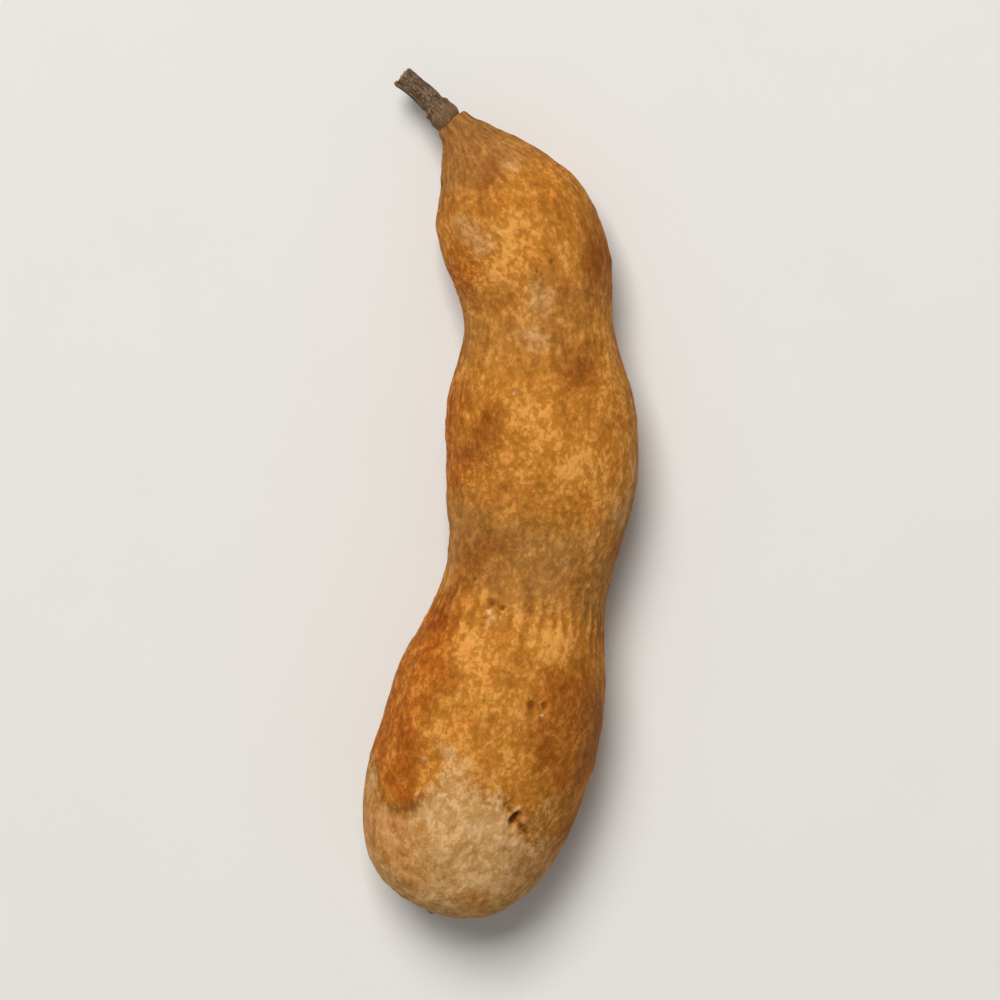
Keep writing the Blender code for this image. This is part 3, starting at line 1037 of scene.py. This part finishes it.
class TAMARIND_OT_pod(bpy.types.Operator):
    """Models the pod, sculpts its skin and finishes it"""

    bl_idname = "tamarind.pod"
    bl_label = "Pod"
    bl_options = {"REGISTER", "UNDO"}

    def execute(self, context):
        first = SWELLINGS[0][0]
        rounding = [first * (1 - math.cos(math.pi / 2 * i / END_RINGS)) for i in range(1, END_RINGS + 1)]
        even = [first + (POD_LENGTH - first) * i / BODY_RINGS for i in range(1, BODY_RINGS + 1)]
        stations = [-BEAK_LENGTH, 0.0, *rounding, *even[:-1]]
        radii = [half_width(along) for along in stations]
        stations += [along for along, _ in NECK_RIM]
        radii += [WAISTS[-1][1] * share for _, share in NECK_RIM]
        pod = draw_out("pod_skin", POD_SIDES, stations, radii, FLATNESS)
        smooth_cage(pod, POD_SMOOTHING)
        cut_finer(pod, FINE_SPOTS, FINE_CUTS)
        sculpt_pod(pod)
        settle(pod, "pod")
        pod.data.materials.append(pod_finish())
        finish_piece(pod, "pod")
        return {"FINISHED"}


class TAMARIND_OT_stalk(bpy.types.Operator):
    """Models the stub of stalk, sculpts its bark and finishes it"""

    bl_idname = "tamarind.stalk"
    bl_label = "Stalk"
    bl_options = {"REGISTER", "UNDO"}

    def execute(self, context):
        stations, radii = [STALK_GAP - STALK_ROOT], [STALK_RADIUS * STALK_FOOT * ROOT_SHARE]
        for i in range(STALK_RINGS + 1):
            share = i / STALK_RINGS
            foot = (STALK_FOOT - 1) * math.exp(-5 * share)
            stations.append(STALK_GAP + STALK_LENGTH * share)
            radii.append(STALK_RADIUS * (1 + foot + (STALK_CUT - 1) * share**6))
        stations += [stations[-1] - depth for depth, _ in CUT_RIM]
        radii += [radii[-1] * share for _, share in CUT_RIM]
        stalk = draw_out("stalk_bark", STALK_SIDES, stations, radii, 1.0)
        smooth_cage(stalk, STALK_SMOOTHING)
        sculpt_stalk(stalk)
        stalk.data.materials.append(stalk_finish())
        settle(stalk, "stalk")
        finish_piece(stalk, "stalk")
        return {"FINISHED"}


class TAMARIND_OT_stage(bpy.types.Operator):
    """Sets up the floor, the soft lights and the camera"""

    bl_idname = "tamarind.stage"
    bl_label = "Stage"
    bl_options = {"REGISTER", "UNDO"}

    def execute(self, context):
        settings = context.scene.tamarind_stage
        deselect_all()
        bpy.ops.mesh.primitive_plane_add(size=FLOOR_SIDE, location=(0, 0, 0))
        floor = context.active_object
        floor.name = "floor"
        finish, tree, shader = new_finish("pale floor")
        place = put(tree, "ShaderNodeTexCoord").outputs["Object"]
        cloud = grains(tree, place, 60.0, 3.0, 0.6)
        darker = tuple(value * 0.97 for value in settings.floor_colour)
        tree.links.new(blend(tree, cloud, settings.floor_colour, darker), shader.inputs["Base Color"])
        shader.inputs["Roughness"].default_value = 0.85
        shader.inputs["Specular IOR Level"].default_value = 0.2
        floor.data.materials.append(finish)

        context.scene.world = self.soft_sky(settings.sky_strength)
        self.soft_box(context, "key light", KEY_PLACE, KEY_SIDE, settings.key_power, KEY_COLOUR)
        self.stand_camera(context, settings)
        context.scene.view_settings.view_transform = "Standard"
        return {"FINISHED"}

    def soft_sky(self, strength):
        """Even light from above, brighter towards the horizon."""
        sky = bpy.data.worlds.new("soft sky")
        sky.use_nodes = True
        tree = sky.node_tree
        facing = put(tree, "ShaderNodeTexCoord").outputs["Generated"]
        height = put(tree, "ShaderNodeSeparateXYZ", {0: facing}).outputs[2]
        light = between(tree, height, 0.0, HORIZON_HEIGHT, HORIZON_LIGHT, strength)
        background = tree.nodes["Background"]
        background.inputs["Color"].default_value = SKY_COLOUR
        tree.links.new(light, background.inputs["Strength"])
        return sky

    def soft_box(self, context, name, place, side, power, colour):
        """A square light that faces the pod."""
        light = bpy.data.lights.new(name, "AREA")
        light.shape = "SQUARE"
        light.size = side
        light.energy = power
        light.color = colour
        box = bpy.data.objects.new(name, light)
        box.location = place
        box.rotation_euler = Vector(place).to_track_quat("Z", "Y").to_euler()
        context.scene.collection.objects.link(box)

    def stand_camera(self, context, settings):
        """A long lens, looking down on the pod with the stalk towards the top of the view."""
        lens = bpy.data.cameras.new("camera")
        lens.lens = LENS
        lens.clip_start = 0.01
        camera = bpy.data.objects.new("camera", lens)
        middle = (FRAME_LOW + FRAME_HIGH) / 2
        back = Vector((0, math.sin(settings.camera_lean), math.cos(settings.camera_lean)))
        camera.location = middle + back * settings.camera_distance
        camera.rotation_euler = (-settings.camera_lean, 0, 0)
        context.scene.collection.objects.link(camera)
        context.scene.camera = camera


class TAMARIND_PT_panel(bpy.types.Panel):
    """The pieces, the stage and their settings"""

    bl_label = "Tamarind Pod"
    bl_idname = "TAMARIND_PT_panel"
    bl_space_type = "VIEW_3D"
    bl_region_type = "UI"
    bl_category = "Tamarind"

    def draw(self, context):
        for operator, settings in (
            (TAMARIND_OT_pod, context.scene.tamarind_skin),
            (TAMARIND_OT_stalk, context.scene.tamarind_stalk),
            (TAMARIND_OT_stage, context.scene.tamarind_stage),
        ):
            box = self.layout.box()
            box.operator(operator.bl_idname)
            for name in type(settings).__annotations__:
                box.prop(settings, name)


CLASSES = (
    TAMARIND_PG_skin,
    TAMARIND_PG_stalk,
    TAMARIND_PG_stage,
    TAMARIND_OT_pod,
    TAMARIND_OT_stalk,
    TAMARIND_OT_stage,
    TAMARIND_PT_panel,
)


def register():
    """Adds the settings, the operators and the panel."""
    for kind in CLASSES:
        bpy.utils.register_class(kind)
    bpy.types.Scene.tamarind_skin = PointerProperty(type=TAMARIND_PG_skin)
    bpy.types.Scene.tamarind_stalk = PointerProperty(type=TAMARIND_PG_stalk)
    bpy.types.Scene.tamarind_stage = PointerProperty(type=TAMARIND_PG_stage)


def unregister():
    del bpy.types.Scene.tamarind_stage
    del bpy.types.Scene.tamarind_stalk
    del bpy.types.Scene.tamarind_skin
    for kind in reversed(CLASSES):
        bpy.utils.unregister_class(kind)


def main():
    register()
    scurf_effect()
    specks_effect()
    ragged_effect()
    fibre_effect()
    bpy.ops.tamarind.pod()
    bpy.ops.tamarind.stalk()
    bpy.ops.tamarind.stage()


if __name__ == "__main__":
    main()
